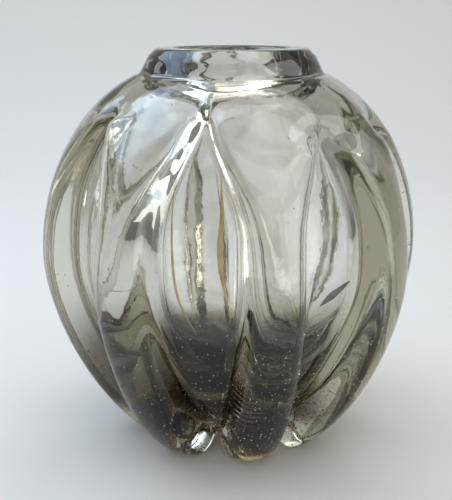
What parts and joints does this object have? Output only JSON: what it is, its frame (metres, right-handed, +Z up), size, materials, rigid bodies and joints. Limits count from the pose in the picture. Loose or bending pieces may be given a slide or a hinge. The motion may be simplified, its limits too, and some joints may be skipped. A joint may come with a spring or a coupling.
{
  "type": "ribbed glass vase",
  "caption": "Heavy clear glass globular vase: thick blown body, short collar, solid applied ribs that fuse on the shoulder and end as toes.",
  "frame": {"origin": "on the floor, on the axis of the mouth, midway between the toes it stands on", "axes": "+Z up along the axis of the mouth; -Y is the front, with rib_1 13 degrees to the right of it"},
  "size_m": [0.2401, 0.2388, 0.25],
  "materials": {
    "clear_glass": "thick clear glass with a faint olive-grey tint and small seeds, fire-polished",
    "smoky_glass": "smoky brown glass full of small seeds, in the thick bottom"
  },
  "bodies": {
    "root": {"vessel": "clear_glass", "heel": "smoky_glass", "collar": "clear_glass", "rib_1": "clear_glass", "rib_2": "clear_glass", "rib_3": "clear_glass", "rib_4": "clear_glass", "rib_5": "clear_glass", "rib_6": "clear_glass", "rib_7": "clear_glass", "rib_8": "clear_glass", "base_pad": "clear_glass"}
  },
  "joints": []
}
